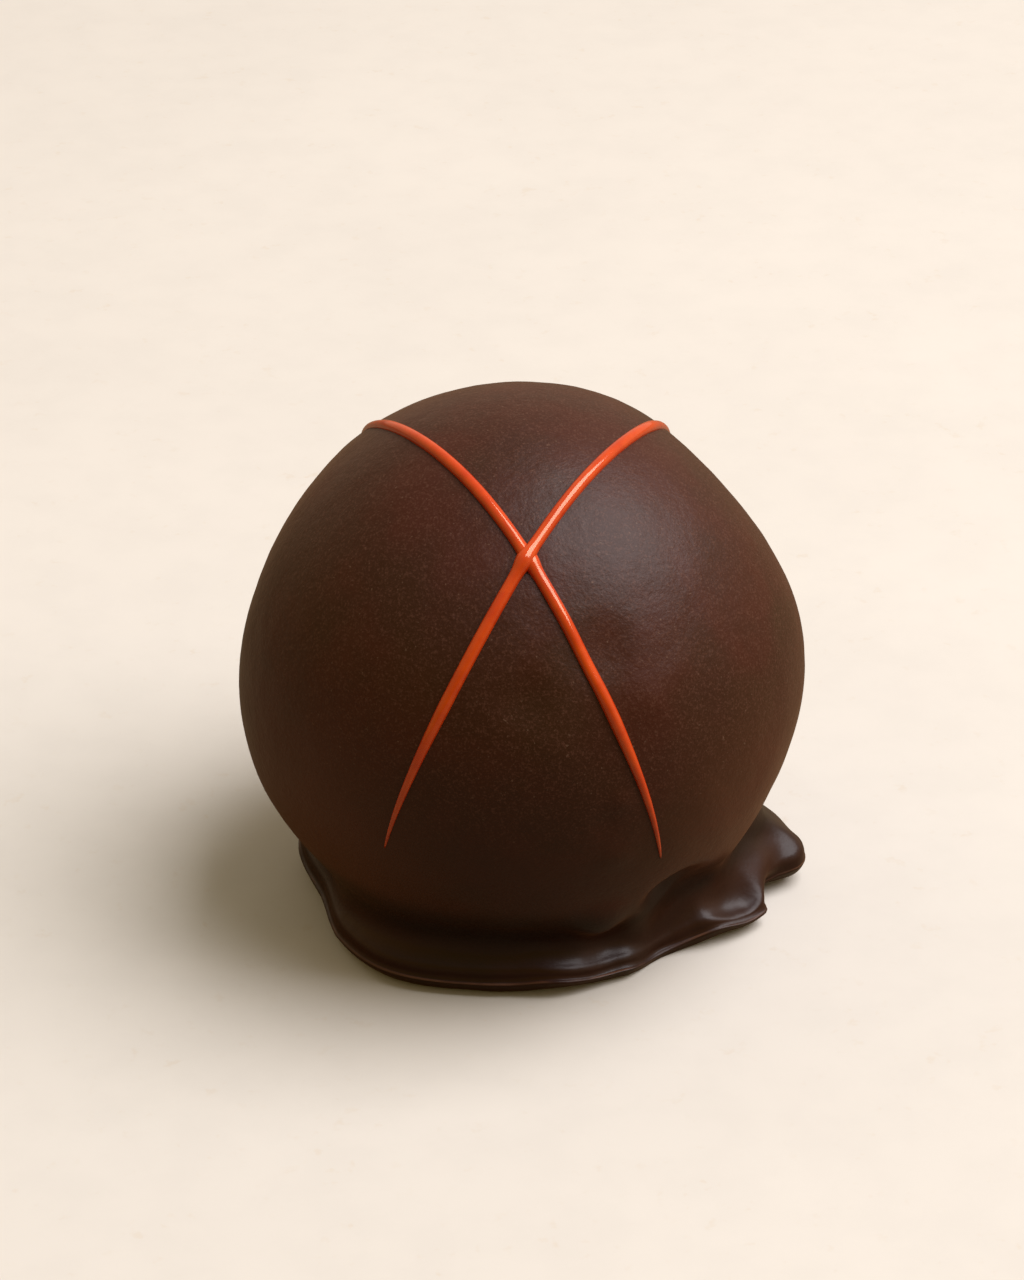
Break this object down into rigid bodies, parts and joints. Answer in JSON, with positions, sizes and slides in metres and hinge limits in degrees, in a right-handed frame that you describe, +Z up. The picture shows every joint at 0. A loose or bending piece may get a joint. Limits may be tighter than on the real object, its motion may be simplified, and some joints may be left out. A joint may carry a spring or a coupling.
{
  "type": "chocolate truffle",
  "caption": "Round hand-dipped chocolate truffle on the uneven foot its coating made as it set, with thin crossed drizzle over the top and front.",
  "frame": {"origin": "on the resting plane, beneath the middle of the ball", "axes": "+Z up, -Y towards the side where the drizzle crosses, +X towards the foot's big lobe"},
  "size_m": [0.0285, 0.0278, 0.0265],
  "materials": {
    "dark_chocolate": "satin dark chocolate, glossier on the foot",
    "drizzle": "glossy orange-red drizzle"
  },
  "bodies": {
    "root": {"truffle": "dark_chocolate"}
  },
  "joints": []
}
